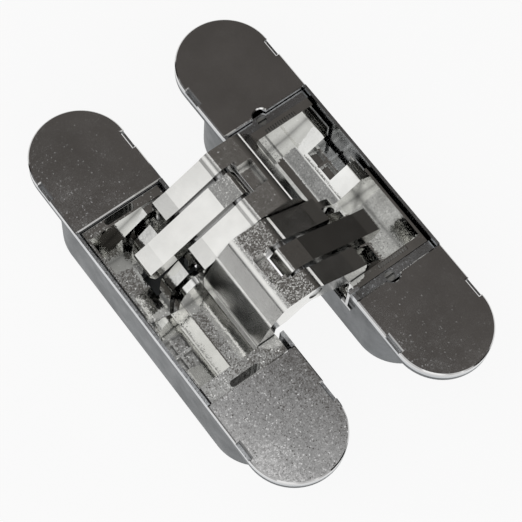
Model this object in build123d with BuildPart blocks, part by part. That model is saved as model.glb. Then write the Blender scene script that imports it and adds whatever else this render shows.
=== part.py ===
from build123d import *
import math
import os

# Concealed mortise hinge, adjustable in three directions, lying open with both leaves face up.
# Millimetres. X runs across the two leaves, Y along the knuckles, Z up; z = 0 is the bottom of the
# cups and the origin lies midway between the leaves. Leaf a is at -X and leaf b at +X. The hinge is
# the same turned half round about Z, so each paired piece is drawn for leaf a and turned for leaf b.

# Leaves
GAP = 22.0  # between the leaves when open
LEAF_W = 30.0
LEAF_L = 131.2
MID_X = -(GAP + LEAF_W) / 2  # middle line of leaf a
DEPTH = 28.0  # mortise depth
FACE = DEPTH  # height of the leaf faces
CAP_T = 1.4
FLANGE_T = 3.0
CAP_START = 31.3  # half the length of the open middle
CUP_L = 101.6
CUP_W = 29.0
CAVITY_X = (-40.1, -12.2)
CAVITY_DEEP = 26.7
CAVITY_HALF = {"a": 31.3, "b": 33.5}
NOTCH_DEEP = 12.5  # cut in the inner walls where the arms pass
NOTCH_HALF = {"a": 26.0, "b": 27.2}
SCREW_Y = 58.0
DEEP_SCREW_Y = 44.5
SCREW_HOLE_R = 2.6
SCREW_HEAD_R = 4.6
ADJUSTER_Y = 36.6
ADJUSTER_R = 2.2

# Pivots of the linkage, as (x, height above the leaf face)
CENTRE = (0.0, 9.9)
FIXED = (-15.0, -8.5)
GUIDE = (-16.2, -4.6)  # guide pin of the fingers that reach into leaf a
CLOSED_GAP = 5.0  # between the faces when shut
PIN_R = 2.0
CENTRE_PIN_R = 2.2
GUIDE_R = 1.25
RUN = 0.05  # radial running clearance

# Bands along Y. The arm pivoted in leaf a fills the negative half; its two fingers reach into leaf b.
SPLIT = 0.15
ARM_END = 25.2
OUTER_FINGER = (18.5, ARM_END)
INNER_FINGER = (SPLIT, 8.0)
LINK = (9.4, 17.2)
ROOM = (8.0, 18.5)  # between the knuckles of one arm, for the other arm's link
LINK_EYE = (10.4, 16.2)
INNER_LUG = (2.4, 4.0)
OUTER_LUG = (23.2, ARM_END)
PARTITION = (0.0, 2.2)
CHEEKS = ((4.2, 9.2), (17.4, 23.0))
END_WALL = 25.4

# Carriage in the cup
CARRIAGE_X = (-39.2, -13.1)
CARRIAGE_HALF = {"a": 31.0, "b": 28.2}
CARRIAGE_TOP = -1.6
CARRIAGE_BASE = {"a": -24.6, "b": -23.7}
TROUGH_X = -38.7  # inner face of the trough's outer wall
TROUGH_WALL_TOP = -3.4  # lower than the carriage's top, to pass the shut wing
WEB_X = -32.0  # recess with crossed ribs in the trough
WEB_Y = (-17.3, -6.4)
WEB_FLOOR = -13.4
RIB = 0.9  # width of the crossed ribs in the recess
SLOT = (-27.1, 29.85)  # rounded slots in the end walls of leaf a
STRIP_Y = 26.3  # middle of the toothed strips of leaf b
TEETH = 12
TOOTH_PITCH = 0.86
SIDE_SCREW = (24.0, 30.1)
SIDE_SCREW_R = 1.5


def section(y):
    """Upright plane across the hinge at y, its x along X and its y the height above the faces."""
    return Plane(origin=(0, y, FACE), x_dir=(1, 0, 0), z_dir=(0, -1, 0))


def level(height):
    """Flat plane at a height above the faces."""
    return Plane.XY.offset(FACE + height)


def turned(point, centre, degrees):
    angle = math.radians(degrees)
    x, z = point[0] - centre[0], point[1] - centre[1]
    return (
        centre[0] + x * math.cos(angle) - z * math.sin(angle),
        centre[1] + x * math.sin(angle) + z * math.cos(angle),
    )


def slab(band, points, radii=None, mode=Mode.ADD):
    """Profile of corner points carried along Y through a band. Radii round them; 0 keeps one sharp."""
    with BuildSketch(section(band[1])) as outline:
        with BuildLine():
            FilletPolyline(*points, radius=radii or [0] * len(points), close=True)
        make_face()
    extrude(outline.sketch, amount=band[1] - band[0], mode=mode)


def rod(band, centre, radius, mode=Mode.ADD):
    """Round bar along Y through a band."""
    with BuildSketch(section(band[1])) as outline:
        with Locations(centre):
            Circle(radius)
    extrude(outline.sketch, amount=band[1] - band[0], mode=mode)


def block(xs, ys, zs, mode=Mode.ADD):
    """Box between limits; zs are heights above the faces."""
    middle = [(low + high) / 2 for low, high in (xs, ys, zs)]
    with Locations((middle[0], middle[1], middle[2] + FACE)):
        Box(xs[1] - xs[0], ys[1] - ys[0], zs[1] - zs[0], mode=mode)


def save(piece, node):
    piece.label = node
    export_step(piece, f"parts/{node}.step")


# Fold angles: the arm turns ARM_TURN about its pivot in leaf a, and the other arm turns back by
# CROSS_TURN about the centre pin, so that leaf b comes round through 180 degrees.
reach = math.dist(CENTRE, FIXED)
shut_z = CLOSED_GAP / 2 - FIXED[1]
shut_x = -math.sqrt(reach**2 - shut_z**2)
open_angle = math.atan2(CENTRE[1] - FIXED[1], CENTRE[0] - FIXED[0])
ARM_TURN = math.degrees(math.atan2(shut_z, shut_x) - open_angle)
CROSS_TURN = 180 - 2 * ARM_TURN
print("arm turns", round(ARM_TURN, 3), "cross turn", round(CROSS_TURN, 3))


def guide_track(over=0.11, steps=4):
    """Places of the guide pin in leaf a, from a little before open to a little past shut."""
    track = []
    for step in range(steps + 1):
        share = -over + (1 + 2 * over) * step / steps
        crossed = turned(GUIDE, CENTRE, share * CROSS_TURN)
        track.append(turned(crossed, FIXED, share * ARM_TURN))
    return track


TRACK = guide_track()
GROOVE_R = GUIDE_R + 0.15


def groove(band):
    """Curved guide groove, cut through a band."""
    with BuildSketch(section(band[1])) as outline:
        with BuildLine():
            first = ThreePointArc(*TRACK[:3])
            second = ThreePointArc(*TRACK[2:])
        trace([first, second], line_width=2 * GROOVE_R)
    extrude(outline.sketch, amount=band[1] - band[0], mode=Mode.SUBTRACT)


# Profile of the wing, from the centre knuckle over the crown and down the leg to the fixed pivot
WING = (
    ((1.0, 13.4), 3.4),
    ((-10.4, 13.5), 3.6),
    ((-15.2, 7.2), 6.0),
    ((-19.4, -1.5), 6.0),
    ((-19.2, -8.2), 3.5),
    ((-16.4, -11.7), 3.0),
    ((-12.6, -11.7), 2.6),
    ((-11.7, -7.6), 0),
    ((-13.5, -0.6), 0),
    ((-13.2, 2.7), 0),
    ((-9.4, 2.7), 0),
    ((-3.0, 6.3), 0),
    ((1.6, 6.3), 0),
    ((3.6, 10.0), 0),
    ((3.4, 11.2), 0),
)
# Profile of a finger, from the centre knuckle down to the guide end (drawn in leaf a)
FINGER = (
    ((-1.0, 12.75), 2.4),
    ((-14.3, 5.55), 0),
    ((-18.8, 3.7), 0),
    ((-19.0, 1.4), 0),
    ((-17.6, -0.8), 0),
    ((-12.6, -1.2), 0),
    ((-2.3, 4.9), 0),
    ((1.4, 6.4), 0),
    ((3.4, 9.6), 0),
    ((1.5, 12.75), 2.4),
)
LUG = (
    ((-18.7, 2.2), 0),
    ((-18.9, -6.9), 2.3),
    ((-13.8, -6.9), 2.3),
    ((-13.4, 0.6), 0),
)
# Long link beside the fingers: tail, crown and nose, then the eye on the fixed pivot
TAIL = (
    ((1.8, 12.9), 1.6),
    ((-5.4, 11.0), 0),
    ((-26.2, -0.1), 0),
    ((-31.4, -2.4), 1.0),
    ((-28.9, -7.6), 1.2),
    ((-21.0, -3.7), 0),
    ((-3.5, 4.9), 0),
    ((2.2, 6.3), 0),
    ((3.9, 9.5), 0),
)
EYE = (
    ((-19.6, -1.0), 0),
    ((-18.2, -11.7), 2.9),
    ((-11.8, -11.7), 2.9),
    ((-12.2, 1.5), 0),
)


def profile(shape, flip=False):
    """Points and radii of a profile, turned half round about the centre line if asked."""
    sign = -1 if flip else 1
    return [(sign * x, z) for (x, z), r in shape], [r for point, r in shape]


def opposite(band):
    return (-band[1], -band[0])


os.makedirs("parts", exist_ok=True)

TAB_X = 10.5  # snap tabs of the caps, off the middle line
TAB_Y = 53.0
TAB = (3.0, 4.0)
SIDE_NOTCH = (47.2, 6.0, 1.05)  # middle, length and depth

for leaf, turn in (("a", 0), ("b", 180)):
    # Cup: a deep body with round ends, a thin mounting flange and a rim round the open middle
    with BuildPart() as housing:
        with BuildSketch(level(-DEPTH)):
            with Locations((MID_X, 0)):
                SlotOverall(CUP_L, CUP_W, rotation=90)
        extrude(amount=DEPTH - CAP_T - 0.5)
        chamfer(housing.faces().sort_by(Axis.Z)[0].edges(), 2.6)
        with BuildSketch(level(-CAP_T - FLANGE_T)):
            with Locations((MID_X, 0)):
                SlotOverall(LEAF_L, LEAF_W, rotation=90)
        extrude(amount=FLANGE_T)
        block((MID_X - LEAF_W / 2, MID_X + LEAF_W / 2), (-CAP_START, CAP_START), (-CAP_T - FLANGE_T, 0))
        half = CAVITY_HALF[leaf]
        block(CAVITY_X, (-half, half), (-CAVITY_DEEP, 1), mode=Mode.SUBTRACT)
        notch = NOTCH_HALF[leaf]
        block((-13, -10), (-notch, notch), (-NOTCH_DEEP, 1), mode=Mode.SUBTRACT)
        for side in (-1, 1):
            with Locations(Location((MID_X, side * SCREW_Y, FACE - CAP_T))):
                CounterSinkHole(SCREW_HOLE_R, SCREW_HEAD_R, depth=FLANGE_T, counter_sink_angle=90)
            with Locations(Location((MID_X, side * DEEP_SCREW_Y, FACE - CAP_T))):
                CounterBoreHole(SCREW_HOLE_R, SCREW_HEAD_R, counter_bore_depth=18, depth=DEPTH)
            with Locations(Location((MID_X, side * ADJUSTER_Y, FACE - CAP_T))):
                Hole(ADJUSTER_R + 0.1, depth=13)
            with BuildSketch(level(-CAP_T)):
                with Locations((MID_X - TAB_X, side * TAB_Y), (MID_X + TAB_X, side * TAB_Y)):
                    Rectangle(TAB[0] + 0.4, TAB[1] + 0.4)
            extrude(amount=-FLANGE_T, mode=Mode.SUBTRACT)
    save(housing.part.rotate(Axis.Z, turn), f"housing_{leaf}")

    # Carriage: block with end walls, a shallow trough for the wing and a deep pocket for the fingers
    carriage_half = CARRIAGE_HALF[leaf]
    base = CARRIAGE_BASE[leaf]
    with BuildPart() as carriage:
        block(CARRIAGE_X, (-carriage_half, carriage_half), (base, CARRIAGE_TOP))
        # Trough under the wing, its floor following the sweep of the leg
        slab(
            (-END_WALL, PARTITION[0]),
            ((TROUGH_X, 2), (TROUGH_X, -8.4), (-30.5, -13.0), (-26, -14.2), (-10, -14.2), (-10, 2)),
            (0, 2.0, 3.0, 3.0, 0, 0),
            mode=Mode.SUBTRACT,
        )
        block((-40, TROUGH_X), (-END_WALL, PARTITION[0]), (TROUGH_WALL_TOP, 0), mode=Mode.SUBTRACT)
        block((-40, WEB_X), WEB_Y, (WEB_FLOOR, 0), mode=Mode.SUBTRACT)
        web_x, web_y = (CARRIAGE_X[0] + WEB_X) / 2, (WEB_Y[0] + WEB_Y[1]) / 2
        rib_z = (WEB_FLOOR - 0.6, WEB_FLOOR + 1.4)
        block((CARRIAGE_X[0], WEB_X + 0.2), (web_y - RIB / 2, web_y + RIB / 2), rib_z)
        block((web_x - RIB / 2, web_x + RIB / 2), (WEB_Y[0] - 0.2, WEB_Y[1] + 0.2), rib_z)
        # Deep pocket, left with the partition and two cheeks standing in it
        tail_way = (CHEEKS[0][1], CHEEKS[1][0])
        for band in ((PARTITION[1], CHEEKS[0][0]), tail_way, (CHEEKS[1][1], END_WALL)):
            block((-38.4, -14.3), band, (-20.2, 0), mode=Mode.SUBTRACT)
        slab(
            (PARTITION[0], END_WALL),
            ((-38.4, 2), (-38.4, -20.2), (-27.9, -20.2), (-27.9, -15.5), (-27.3, -9.5),
             (-25.8, -5.6), (-22.0, -2.7), (-12, -2.7), (-12, 2)),
            (0, 0, 0, 0, 6.0, 4.0, 4.0, 0, 0),
            mode=Mode.SUBTRACT,
        )
        for band in CHEEKS:
            block((-21.3, -14.3), band, (-20.2, 0), mode=Mode.SUBTRACT)
            slab(
                band,
                ((-30, 2), (-30, -9.4), (-27.6, -9.4), (-26.8, -8.4), (-21.0, -3.8), (-21.0, 2)),
                mode=Mode.SUBTRACT,
            )
        # Way for the tail of the long link, through the floor and the inner wall
        block((-28.8, -10), tail_way, (-27, -17.5), mode=Mode.SUBTRACT)
        # Inner wall cut down under the arms
        block((-14.35, -12), (-END_WALL, END_WALL), (-NOTCH_DEEP, 0), mode=Mode.SUBTRACT)
        # Bearing brackets of the long link
        for band in ((8.3, LINK_EYE[0] - 0.1), (LINK_EYE[1] + 0.1, 18.3)):
            slab(
                band,
                ((-18.4, -13.6), (-18.4, -6.9), (-16.6, -5.0), (-13.4, -5.0), (-11.6, -6.9),
                 (-11.6, -10.6), (CARRIAGE_X[1], -12.6), (CARRIAGE_X[1], -13.6)),
            )
        # End wall of the pocket, set back above a sloped ledge whose solid part holds the groove
        if leaf == "a":
            slab(
                (END_WALL - 0.1, 28.1),
                ((-38.4, 2), (-38.4, -14.6), (-20.5, -2.4), (-14.3, -2.4), (-14.3, 2)),
                mode=Mode.SUBTRACT,
            )
        # Bores and guide grooves
        rod((-29.4, PARTITION[1]), FIXED, PIN_R + RUN, mode=Mode.SUBTRACT)
        rod((8.3, 18.3), FIXED, PIN_R + RUN, mode=Mode.SUBTRACT)
        groove((0.7, PARTITION[1]))
        groove((END_WALL, 27.1))
        # Slots in the end walls
        for side in (-1, 1):
            if leaf == "a":
                with BuildSketch(level(CARRIAGE_TOP)):
                    with Locations((SLOT[0], side * SLOT[1])):
                        SlotOverall(10, 2.1)
                extrude(amount=-9, mode=Mode.SUBTRACT)
            else:
                middle = side * STRIP_Y
                block((-33.2, -22.6), (middle - 0.65, middle + 0.65), (-2.6, 0), mode=Mode.SUBTRACT)
    save(carriage.part.rotate(Axis.Z, turn), f"carriage_{leaf}")

    # Arm: a wide wing on this leaf, a crown over the centre pin and two fingers into the other leaf
    with BuildPart() as arm:
        slab((-ARM_END, -SPLIT), *profile(WING))
        for band in (OUTER_FINGER, INNER_FINGER):
            slab(opposite(band), *profile(FINGER, flip=True))
        for band in (OUTER_LUG, INNER_LUG):
            slab(opposite(band), *profile(LUG, flip=True))
        # Room at the centre pin for the other arm's long link, and the pocket beside it
        rod(opposite(ROOM), CENTRE, 4.7, mode=Mode.SUBTRACT)
        block((-4.4, 8), opposite(ROOM), (0, 20), mode=Mode.SUBTRACT)
        block((-9.0, -4.3), (-16.8, -8.5), (10.2, 20), mode=Mode.SUBTRACT)
        rod((-30, 0), CENTRE, CENTRE_PIN_R + RUN, mode=Mode.SUBTRACT)
        rod((-30, 0), FIXED, PIN_R + RUN, mode=Mode.SUBTRACT)
        for band in (OUTER_LUG, INNER_LUG):
            rod(opposite(band), (-GUIDE[0], GUIDE[1]), GUIDE_R, mode=Mode.SUBTRACT)
    save(arm.part.rotate(Axis.Z, turn), f"arm_{leaf}")

    # Long link: turns with the arm on both of its pins, in the other half of the hinge
    with BuildPart() as link:
        slab(LINK, *profile(TAIL))
        slab(LINK_EYE, *profile(EYE))
        rod(LINK, CENTRE, CENTRE_PIN_R + RUN, mode=Mode.SUBTRACT)
        rod(LINK, FIXED, PIN_R + RUN, mode=Mode.SUBTRACT)
    save(link.part.rotate(Axis.Z, turn), f"link_{leaf}")

    with BuildPart() as pivot_pin:
        rod((-29.0 if leaf == "a" else -27.2, PARTITION[1] - 0.1), FIXED, PIN_R)
    save(pivot_pin.part.rotate(Axis.Z, turn), f"pivot_pin_{leaf}")

    with BuildPart() as link_pin:
        rod((8.3, 18.3), FIXED, PIN_R)
    save(link_pin.part.rotate(Axis.Z, turn), f"link_pin_{leaf}")

    # Guide pins in the finger ends of the arm, which run in the grooves of the other leaf
    with BuildPart() as guide_pins:
        for band in ((-INNER_LUG[1], -0.9), (-26.9, -OUTER_LUG[0])):
            rod(band, (-GUIDE[0], GUIDE[1]), GUIDE_R)
    save(guide_pins.part.rotate(Axis.Z, turn), f"guide_pins_{leaf}")

    # Snap-on caps over the fixing screws, with side notches for a lever and two pegs
    for end, side in (("upper", 1), ("lower", -1)):
        with BuildPart() as cap:
            with BuildSketch(level(-CAP_T)):
                with Locations((MID_X, 0)):
                    SlotOverall(LEAF_L, LEAF_W, rotation=90)
                with Locations((MID_X, side * (CAP_START - 50 + 0.05))):
                    Rectangle(40, 100, mode=Mode.SUBTRACT)
                for edge in (-1, 1):
                    with Locations((MID_X + edge * LEAF_W / 2, side * SIDE_NOTCH[0])):
                        Rectangle(2 * SIDE_NOTCH[2], SIDE_NOTCH[1], mode=Mode.SUBTRACT)
                if leaf == "b":
                    with Locations((-SIDE_SCREW[0], side * 30.4)):
                        Circle(2.6, mode=Mode.SUBTRACT)
            extrude(amount=CAP_T)
            chamfer(cap.faces().sort_by(Axis.Z)[-1].edges(), 0.35)
            with BuildSketch(level(-CAP_T)):
                with Locations((MID_X - TAB_X, side * TAB_Y), (MID_X + TAB_X, side * TAB_Y)):
                    Rectangle(*TAB)
            extrude(amount=-2.2)
        turned_end = end if leaf == "a" else {"upper": "lower", "lower": "upper"}[end]
        save(cap.part.rotate(Axis.Z, turn), f"cap_{leaf}_{turned_end}")

        # Slotted adjusting screw in the end of the cup, under the cap
        with BuildPart() as adjuster:
            with BuildSketch(level(-13.0)):
                with Locations((MID_X, side * ADJUSTER_Y)):
                    Circle(ADJUSTER_R)
            extrude(amount=10.5)
            block((MID_X - 3, MID_X + 3), (side * ADJUSTER_Y - 0.4, side * ADJUSTER_Y + 0.4), (-3.7, -2),
                  mode=Mode.SUBTRACT)
        kind = {"a": "depth_screw", "b": "height_screw"}[leaf]
        save(adjuster.part.rotate(Axis.Z, turn), f"{kind}_{turned_end}")

# Centre pin through both arms and both long links
with BuildPart() as centre_pin:
    rod((-ARM_END + 0.3, ARM_END - 0.3), CENTRE, CENTRE_PIN_R)
save(centre_pin.part, "centre_pin")

# Slide frame of leaf b: a base plate with two upright ends that hold the carriage between them
FRAME_X = (12.6, 39.7)
with BuildPart() as slide_frame:
    block(FRAME_X, (-31.9, 31.9), (-26.2, -24.9))
    for side in (-1, 1):
        low, high = sorted((side * 28.3, side * 31.9))
        block(FRAME_X, (low, high), (-26.2, -2.0))
        with Locations(Location((SIDE_SCREW[0], side * SIDE_SCREW[1], FACE - 2.0))):
            Hole(SIDE_SCREW_R + RUN, depth=13)
    block((12, 27.5), (-17.6, -9.0), (-27, -24), mode=Mode.SUBTRACT)
    block((31.0, 38.0), (-25, 25), (-27, -24), mode=Mode.SUBTRACT)
save(slide_frame.part, "slide_frame_b")

for end, side in (("upper", 1), ("lower", -1)):
    with BuildPart() as side_screw:
        with BuildSketch(level(-15.0)):
            with Locations((SIDE_SCREW[0], side * SIDE_SCREW[1])):
                Circle(SIDE_SCREW_R)
        extrude(amount=12.4)
        middle = side * SIDE_SCREW[1]
        block((22, 26), (middle - 0.3, middle + 0.3), (-3.6, -2), mode=Mode.SUBTRACT)
    save(side_screw.part, f"side_screw_{end}")

    # Toothed strip set in the end wall of the carriage
    strip_band = (side * STRIP_Y - 0.6, side * STRIP_Y + 0.6)
    with BuildPart() as strip:
        block((22.7, 33.1), strip_band, (-2.55, -1.9))
        for tooth in range(TEETH):
            start = 23.1 + tooth * TOOTH_PITCH
            block((start, start + TOOTH_PITCH / 2), strip_band, (-1.9, -1.4))
    save(strip.part, f"toothed_strip_{end}")

# Bent wire clip on the inner wall of leaf b
with BuildPart() as clip:
    block((10.2, 11.0), (-28.9, -27.9), (-7.5, 0.8))
    block((10.2, 11.0), (-30.4, -26.2), (-8.6, -7.5))
    block((10.2, 13.6), (-28.9, -27.9), (0.0, 0.8))
save(clip.part, "wire_clip")
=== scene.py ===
import bpy
from mathutils import Matrix, Vector


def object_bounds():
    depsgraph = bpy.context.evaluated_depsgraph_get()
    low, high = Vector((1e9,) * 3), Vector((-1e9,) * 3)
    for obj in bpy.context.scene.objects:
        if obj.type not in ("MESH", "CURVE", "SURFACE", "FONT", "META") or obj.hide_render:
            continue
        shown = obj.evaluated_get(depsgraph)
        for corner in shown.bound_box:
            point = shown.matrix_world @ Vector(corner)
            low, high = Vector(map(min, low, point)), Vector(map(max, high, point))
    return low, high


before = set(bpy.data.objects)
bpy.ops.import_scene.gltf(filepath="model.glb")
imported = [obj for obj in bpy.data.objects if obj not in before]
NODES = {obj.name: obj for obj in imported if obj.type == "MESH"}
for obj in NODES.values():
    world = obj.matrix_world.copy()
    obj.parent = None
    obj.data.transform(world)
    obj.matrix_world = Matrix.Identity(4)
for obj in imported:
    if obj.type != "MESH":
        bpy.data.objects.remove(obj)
CAD_BOX = [list(corner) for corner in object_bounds()]

# Camera, fitted to the photograph: its place and its right and forward directions
LENS = 120.08
SENSOR_WIDTH = 36.0
CLIP_START = 0.01
CAMERA_AT = Vector((-0.13333, -0.14135, 0.48058))
RIGHT = Vector((0.79719, -0.60178, 0.04846))
FORWARD = Vector((0.26495, 0.27660, -0.92374))

# Where the housings are plated: in the pocket, given by its corners on leaf b, and above a height
POCKET = ((0.01186, -0.034, 0.003), (0.0403, 0.034, 0.040))
PLATED_FROM = 0.0252

# Noise of a metal's tint, gloss and waves: its scale, the values between which a tint or a gloss
# changes, and the waves' depth
CLOUDS_PER_M = 60.0
CLOUD_SPREAD = (0.35, 0.65)
SMEARS_PER_M = 180.0
SMEAR_SPREAD = (0.3, 0.7)
WAVES_PER_M = 160.0
WAVE_DETAIL = 3.0
WAVE_DEPTH = 0.0004

# Crystals of the plating. Each leans at random, by one amount on slopes and by another on crowns.
# The one gives way to the other between these two upward parts of the normal. A few crystals lean
# much: from a random value of 0.72 to one of 0.95 the lean grows from 0.4 to 1.6 times its amount.
CRYSTALS_PER_M = 3000.0
CROWN = (0.93, 0.96)
SPARKLE = (0.72, 0.95, 0.4, 1.6)

# Painted shade in gaps and inner corners: share of open sky over a point below which the painted
# shade is darkest, and above which there is none
GAP_SHADE_OPEN = (0.25, 0.80)
GAP_SHADE_SAMPLES = 8

EDGE_SEGMENTS = 2
EDGE_ANGLE = 0.7    # radians between two faces from which their edge is rounded

# Floor of pale paper. Its glow is the share of pure white that it shows as
FLOOR_SIZE = 6.0
FLOOR_DROP = 0.0002
FLOOR_GLOW = 0.90
MOTTLES_PER_M = 3.0
MOTTLE_TONES = ((0.3, 0.95), (0.7, 0.97))
PAPER_ROUGHNESS = 0.9

# Studio: a dim, warm room with a broad white glow on one side, which fades towards the horizon.
# Each stop of ROOM is how nearly a direction is the glow's, from 0 opposite to 1 the same, and
# its light. Each stop of HORIZON is a direction's height and the share of the light that is kept.
GLOW_SIDE = (-0.700, -0.300, 0.648)
ROOM = (
    (0.30, (0.052, 0.049, 0.046)),
    (0.60, (0.092, 0.085, 0.080)),
    (0.680, (0.108, 0.100, 0.094)),
    (0.696, 0.36),
    (0.711, 0.45),
    (0.723, 1.0),
    (0.737, 1.0),
    (0.752, 0.46),
    (0.80, 0.46),
    (0.842, 0.15),
    (0.878, 0.62),
    (0.901, 1.0),
)
HORIZON = ((0.02, 0.10), (0.45, 1.0))
LAMP_AIM = Vector((0, 0, 0.02))


class Tree:
    """Node tree of a material or of the world, with the kinds of node that are used often."""

    def __init__(self, owner):
        owner.use_nodes = True
        self.nodes = owner.node_tree.nodes
        self.links = owner.node_tree.links

    def add(self, kind, inputs, **settings):
        """New node. An input is linked where it is given a node's output, and set where not."""
        made = self.nodes.new(f"ShaderNode{kind}")
        for name, value in settings.items():
            setattr(made, name, value)
        for socket, value in inputs.items():
            if isinstance(value, bpy.types.NodeSocket):
                self.links.new(value, made.inputs[socket])
            else:
                made.inputs[socket].default_value = value
        return made

    def maths(self, operation, *values):
        return self.add("Math", dict(enumerate(values)), operation=operation).outputs[0]

    def vector_maths(self, operation, *values):
        made = self.add("VectorMath", dict(enumerate(values)), operation=operation)
        return made.outputs["Vector"]

    def axes(self, vector):
        return self.add("SeparateXYZ", {"Vector": vector}).outputs

    def noise(self, coords, scale, detail=4.0):
        inputs = {"Vector": coords, "Scale": scale, "Detail": detail, "Roughness": 0.55}
        return self.add("TexNoise", inputs).outputs["Fac"]

    def ramp(self, value, stops):
        """Colour ramp over a value. Each stop is its place and a grey or a colour."""
        made = self.add("ValToRGB", {"Fac": value})
        elements = made.color_ramp.elements
        while len(elements) < len(stops):
            elements.new(0.5)
        for element, (place, tone) in zip(elements, stops):
            element.position = place
            colour = (tone, tone, tone) if isinstance(tone, float) else tone
            element.color = (*colour, 1.0)
        return made.outputs["Color"]

    def mixed(self, share, one, other, **settings):
        inputs = {"Fac": share, "Color1": one, "Color2": other}
        return self.add("MixRGB", inputs, **settings).outputs["Color"]

    def multiplied(self, one, other):
        return self.mixed(1.0, one, other, blend_type="MULTIPLY")


def material(name):
    """New node material with its tree and its shader."""
    made = bpy.data.materials.new(name)
    tree = Tree(made)
    return made, tree, tree.nodes["Principled BSDF"]


def crystals(tree, coords, slope_lean, crown_lean):
    """Surface normal of a plating whose crystals lean more or less on crowns than on slopes."""
    cells = tree.add("TexVoronoi", {"Scale": CRYSTALS_PER_M, "Vector": coords.outputs["Object"]})
    colour = cells.outputs["Color"]
    upright = tree.axes(coords.outputs["Normal"])["Z"]
    crown_from, crown_full = CROWN
    most = tree.add("MapRange", {
        "Value": upright, "From Min": crown_from, "From Max": crown_full,
        "To Min": 2 * slope_lean, "To Max": 2 * crown_lean,
    }, interpolation_type="SMOOTHSTEP")
    chance = tree.add("SeparateColor", {"Color": colour}).outputs["Blue"]
    few_from, few_full, least, furthest = SPARKLE
    strength = tree.add("MapRange", {
        "Value": chance, "From Min": few_from, "From Max": few_full,
        "To Min": least, "To Max": furthest,
    })
    amount = tree.maths("MULTIPLY", most.outputs["Result"], strength.outputs["Result"])
    centred = tree.vector_maths("SUBTRACT", colour, (0.5, 0.5, 0.5))
    lean = tree.add("VectorMath", {0: centred, "Scale": amount}, operation="SCALE")
    normal = tree.add("NewGeometry", {}).outputs["Normal"]
    return tree.vector_maths("NORMALIZE", tree.vector_maths("ADD", normal, lean.outputs["Vector"]))


def painted_gap_shade(tree, tint, reach, depth):
    """Tint darkened by painted shade in tight crevices and inner corners, where little open sky
    reaches.
    """
    gap = tree.add("AmbientOcclusion", {"Distance": reach}, samples=GAP_SHADE_SAMPLES)
    closed, clear = GAP_SHADE_OPEN
    kept = tree.ramp(gap.outputs["AO"], ((closed, 1.0 - depth), (clear, 1.0)))
    return tree.multiplied(tint, kept)


def in_box(tree, place, low, high):
    """1 inside a box and inside its mirror images across x, y and z = 0, and 0 outside."""
    low, high = Vector(low), Vector(high)
    offset = tree.vector_maths("SUBTRACT", tree.vector_maths("ABSOLUTE", place), (low + high) / 2)
    distance = tree.vector_maths("ABSOLUTE", offset)
    x, y, z = tree.axes(tree.vector_maths("SUBTRACT", distance, (high - low) / 2))
    furthest = tree.maths("MAXIMUM", tree.maths("MAXIMUM", x, y), z)
    return tree.maths("LESS_THAN", furthest, 0.0)


def plated_share(tree, place):
    """1 where a housing is plated, and 0 where its casting is bare."""
    face = tree.maths("GREATER_THAN", tree.axes(place)["Z"], PLATED_FROM)
    return tree.maths("MAXIMUM", in_box(tree, place, *POCKET), face)


def metal(name, dark, light, rough, wave=0.0, lean=(0.02, 0.02), gap_shade=(0.004, 0.6), plated=None):
    """Cast and plated metal: a cloudy tint with painted shade in its crevices, uneven gloss, waves
    and crystals.

    rough is the least and the most roughness, lean the crystals' on slopes and on crowns, and
    the gap-shade pair how far painted shade reaches into crevices and how dark it gets. plated is
    the dark and light tint and the roughness of a casting's plated share, where the rest is bare.
    """
    made, tree, shader = material(name)
    coords = tree.add("TexCoord", {})
    place = coords.outputs["Object"]
    clouds = tree.noise(place, CLOUDS_PER_M)
    smears = tree.noise(place, SMEARS_PER_M)

    def finish(dark, light, rough):
        tint = tree.ramp(clouds, tuple(zip(CLOUD_SPREAD, (dark, light))))
        return tint, tree.ramp(smears, tuple(zip(SMEAR_SPREAD, rough)))

    tint, gloss = finish(dark, light, rough)
    if plated:
        share = plated_share(tree, place)
        plated_tint, plated_gloss = finish(*plated)
        tint = tree.mixed(share, tint, plated_tint)
        gloss = tree.mixed(share, gloss, plated_gloss)
    normal = crystals(tree, coords, *lean)
    if wave:
        height = tree.noise(place, WAVES_PER_M, WAVE_DETAIL)
        inputs = {"Strength": wave, "Distance": WAVE_DEPTH, "Height": height, "Normal": normal}
        normal = tree.add("Bump", inputs).outputs["Normal"]
    # Base colour: cloudy tint with painted shade in crevices, darker where ambient occlusion finds
    # little open sky
    tree.links.new(painted_gap_shade(tree, tint, *gap_shade), shader.inputs["Base Color"])
    tree.links.new(gloss, shader.inputs["Roughness"])
    tree.links.new(normal, shader.inputs["Normal"])
    shader.inputs["Metallic"].default_value = 1.0
    return made


def pale(name):
    """Matt pale paper, which shows as white to the camera, in gloss and through glass."""
    made, tree, shader = material(name)
    place = tree.add("TexCoord", {}).outputs["Object"]
    tone = tree.ramp(tree.noise(place, MOTTLES_PER_M), MOTTLE_TONES)
    tree.links.new(tone, shader.inputs["Base Color"])
    shader.inputs["Roughness"].default_value = PAPER_ROUGHNESS
    path = tree.add("LightPath", {}).outputs
    seen = tree.maths("MAXIMUM", path["Is Camera Ray"], path["Is Glossy Ray"])
    seen = tree.maths("MAXIMUM", seen, path["Is Transmission Ray"])
    white = tree.add("Emission", {}).outputs["Emission"]
    share = tree.maths("MULTIPLY", seen, FLOOR_GLOW)
    mix = tree.add("MixShader", {"Fac": share, 1: shader.outputs["BSDF"], 2: white})
    tree.links.new(mix.outputs["Shader"], tree.nodes["Material Output"].inputs["Surface"])
    return made


def soft_box(name, place, size, power):
    """Area lamp that looks at the object."""
    data = bpy.data.lights.new(name, "AREA")
    data.shape = "RECTANGLE"
    data.size, data.size_y = size
    data.energy = power
    lamp = bpy.data.objects.new(name, data)
    lamp.location = place
    lamp.rotation_euler = (LAMP_AIM - Vector(place)).to_track_quat("-Z", "Y").to_euler()
    bpy.context.collection.objects.link(lamp)


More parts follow.
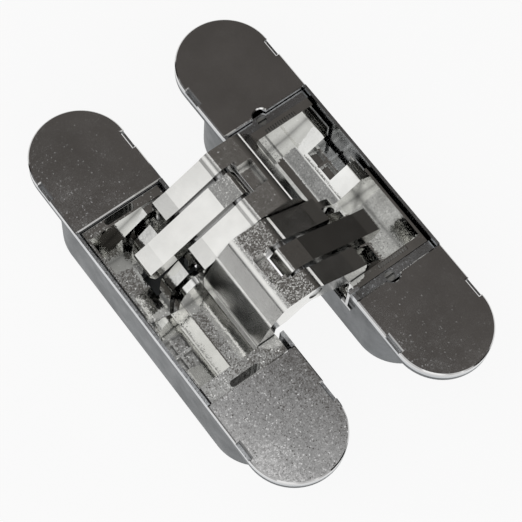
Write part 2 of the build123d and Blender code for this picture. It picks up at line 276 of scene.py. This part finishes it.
# The crowns of the two arms differ in the photograph: one is coarse and one nearly smooth
ARM_TINT = ((0.78, 0.775, 0.75), (0.86, 0.855, 0.83))
# Reach and darkness of the painted shade in the arms' crevices
ARM_GAP_SHADE = (0.003, 0.85)
# The housings carry a lighter painted shade in crevices; carriage, caps, pins and screws keep the
# default one
CASTING = metal("matt_casting", (0.11, 0.117, 0.122), (0.18, 0.189, 0.197), rough=(0.38, 0.50),
                lean=(0.03, 0.03), gap_shade=(0.003, 0.3),
                plated=((0.50, 0.515, 0.53), (0.62, 0.635, 0.65), (0.12, 0.22)))
CARRIAGE = metal("plated_carriage", (0.66, 0.66, 0.64), (0.86, 0.86, 0.84), rough=(0.03, 0.08),
                 wave=0.1, lean=(0.01, 0.03))
COARSE_ARM = metal("coarse_arm", *ARM_TINT, rough=(0.17, 0.24), lean=(0.005, 0.21), gap_shade=ARM_GAP_SHADE)
SMOOTH_ARM = metal("smooth_arm", *ARM_TINT, rough=(0.10, 0.17), lean=(0.005, 0.035), gap_shade=ARM_GAP_SHADE)
LINK = metal("plated_link", *ARM_TINT, rough=(0.10, 0.17), lean=(0.005, 0.075), gap_shade=ARM_GAP_SHADE)
CAP = metal("plated_cap", (0.62, 0.615, 0.61), (0.71, 0.705, 0.70), rough=(0.06, 0.13),
            wave=0.05, lean=(0.008, 0.019))
PIN = metal("ground_pin", (0.50, 0.50, 0.50), (0.64, 0.64, 0.64), rough=(0.18, 0.3))
SCREW = metal("plated_screw", (0.48, 0.48, 0.46), (0.62, 0.62, 0.60), rough=(0.24, 0.4))

# Material and rounding of the edges, by the longest of these that a node's name starts with
FINISH = {
    "housing": (CASTING, 0.0003),
    "slide_frame": (CASTING, None),
    "carriage": (CARRIAGE, 0.00025),
    "toothed_strip": (CARRIAGE, None),
    "arm_a": (COARSE_ARM, 0.0003),
    "arm_b": (SMOOTH_ARM, 0.0003),
    "link": (LINK, 0.0003),
    "cap": (CAP, 0.0001),
    "centre_pin": (PIN, None),
    "pivot_pin": (PIN, None),
    "link_pin": (PIN, None),
    "guide_pins": (PIN, None),
    "wire_clip": (PIN, None),
    "depth_screw": (SCREW, None),
    "height_screw": (SCREW, None),
    "side_screw": (SCREW, None),
}
for name, node in NODES.items():
    finish, edge = FINISH[max((start for start in FINISH if name.startswith(start)), key=len)]
    node.data.materials.clear()
    node.data.materials.append(finish)
    if edge:
        bevel = node.modifiers.new("edge", "BEVEL")
        bevel.width = edge
        bevel.segments = EDGE_SEGMENTS
        bevel.limit_method = "ANGLE"
        bevel.angle_limit = EDGE_ANGLE

lowest = CAD_BOX[0][2]
bpy.ops.mesh.primitive_plane_add(size=FLOOR_SIZE, location=(0, 0, lowest - FLOOR_DROP))
floor = bpy.context.object
floor.name = "floor"
floor.data.materials.append(pale("floor_paper"))

world = bpy.data.worlds.new("studio")
bpy.context.scene.world = world
studio = Tree(world)
direction = studio.add("TexCoord", {}).outputs["Generated"]
facing = studio.add("VectorMath", {0: direction, 1: GLOW_SIDE}, operation="DOT_PRODUCT")
nearness = studio.maths("MULTIPLY_ADD", facing.outputs["Value"], 0.5, 0.5)
dimmed = studio.ramp(studio.axes(direction)["Z"], HORIZON)
sky = studio.nodes["Background"]
studio.links.new(studio.multiplied(studio.ramp(nearness, ROOM), dimmed), sky.inputs["Color"])
backdrop = studio.add("Background", {})
blend = studio.add("MixShader", {
    "Fac": studio.add("LightPath", {}).outputs["Is Camera Ray"],
    1: sky.outputs["Background"],
    2: backdrop.outputs["Background"],
})
studio.links.new(blend.outputs["Shader"], studio.nodes["World Output"].inputs["Surface"])

soft_box("fill", place=(-0.33, -0.94, 0.50), size=(1.6, 1.2), power=3.5)
soft_box("rim", place=(0.20, 0.95, 0.45), size=(1.2, 0.8), power=1.8)

camera_data = bpy.data.cameras.new("camera")
camera_data.lens = LENS
camera_data.sensor_width = SENSOR_WIDTH
camera_data.clip_start = CLIP_START
camera = bpy.data.objects.new("camera", camera_data)
turn = Matrix((RIGHT, RIGHT.cross(FORWARD), -FORWARD)).transposed()
camera.matrix_world = Matrix.Translation(CAMERA_AT) @ turn.to_4x4()
bpy.context.collection.objects.link(camera)
bpy.context.scene.camera = camera
bpy.context.scene.view_settings.view_transform = "Standard"
